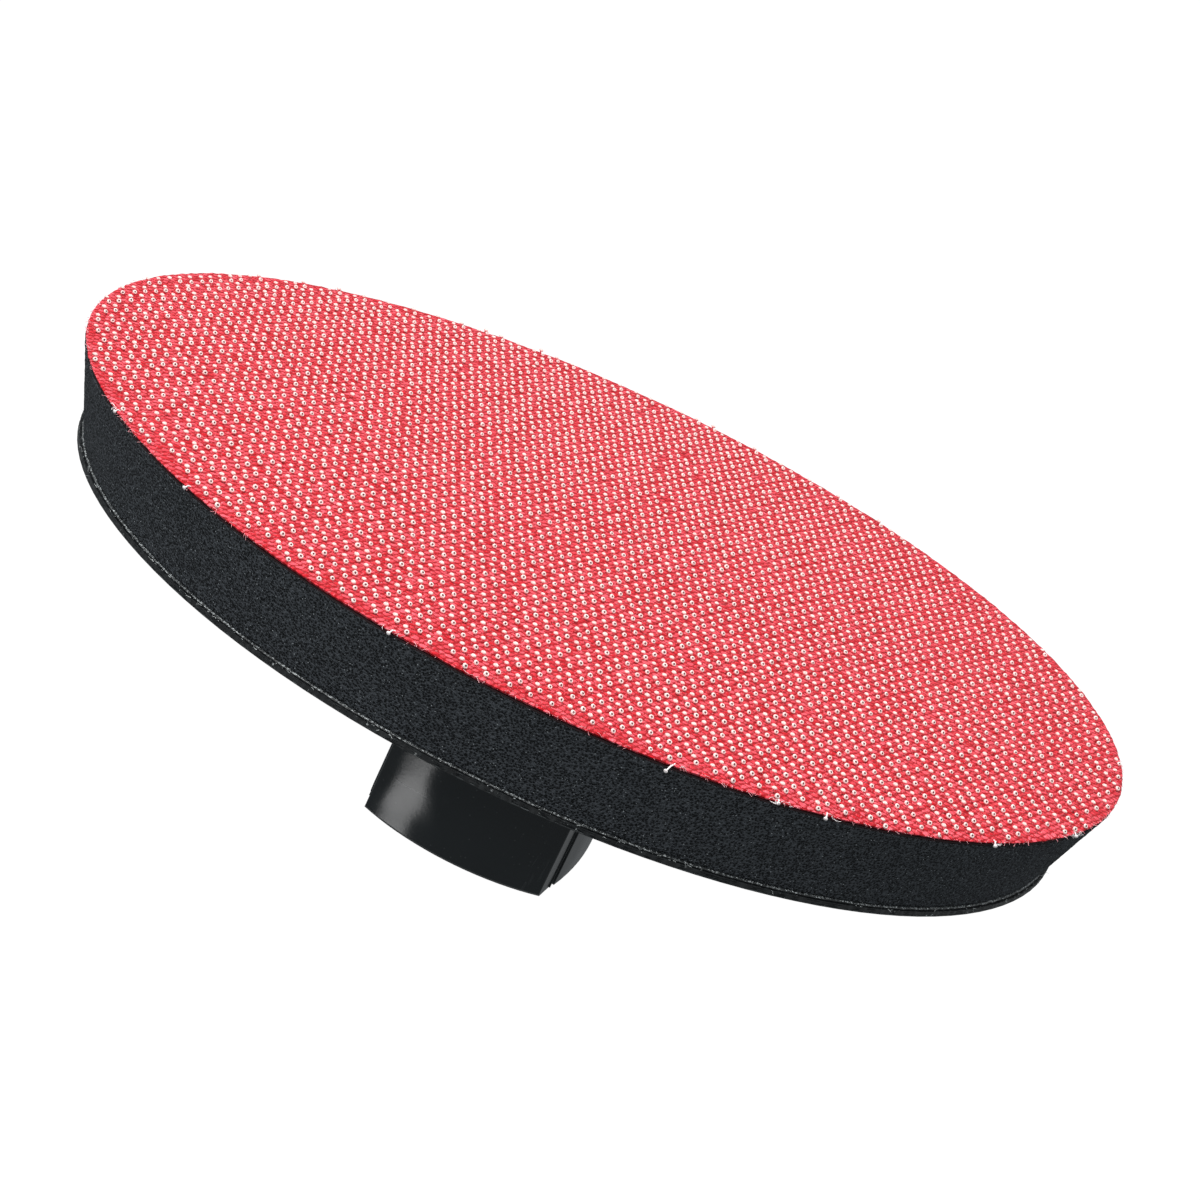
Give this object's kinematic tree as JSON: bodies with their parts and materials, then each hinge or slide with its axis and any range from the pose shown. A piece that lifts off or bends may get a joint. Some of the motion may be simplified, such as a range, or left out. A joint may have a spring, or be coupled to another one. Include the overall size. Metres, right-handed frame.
{
  "type": "orbital sander backing pad",
  "caption": "Round hook-and-loop backing pad of an orbital sander: woven hook face, tapered foam, laminate disc and a moulded hub with a spindle thread.",
  "frame": {"origin": "centre of the hub's free end, in the plane where the sander's spindle shoulder seats", "axes": "+Z along the spindle axis, the way the hook face looks; the hub's curved ends are at +Y and -Y and its flats at +X and -X"},
  "size_m": [0.15, 0.15, 0.0441],
  "materials": {
    "hooks": "translucent nylon mushroom heads, satin",
    "hook_fabric": "woven red nylon ground",
    "adhesive": "cured contact adhesive, rough edge",
    "foam": "black fine-celled polyurethane foam, matt",
    "laminate": "black glass-fibre laminate with a cut edge",
    "stiff_laminate": "dark glass-fibre laminate, woven surface",
    "zinc_steel": "zinc-plated steel",
    "hub_plastic": "gloss black moulded nylon",
    "insert_steel": "turned steel with a cut thread"
  },
  "bodies": {
    "root": {"hook_pile": "hooks", "hook_fabric": "hook_fabric", "fabric_film": "adhesive", "foam_pad": "foam", "foam_film": "adhesive", "backing_disc": "laminate", "stiffener_disc": "stiff_laminate", "clamp_plate": "zinc_steel", "rivets": "zinc_steel", "rivet_washers": "zinc_steel", "hub_body": "hub_plastic", "spindle_insert": "insert_steel"}
  },
  "joints": []
}
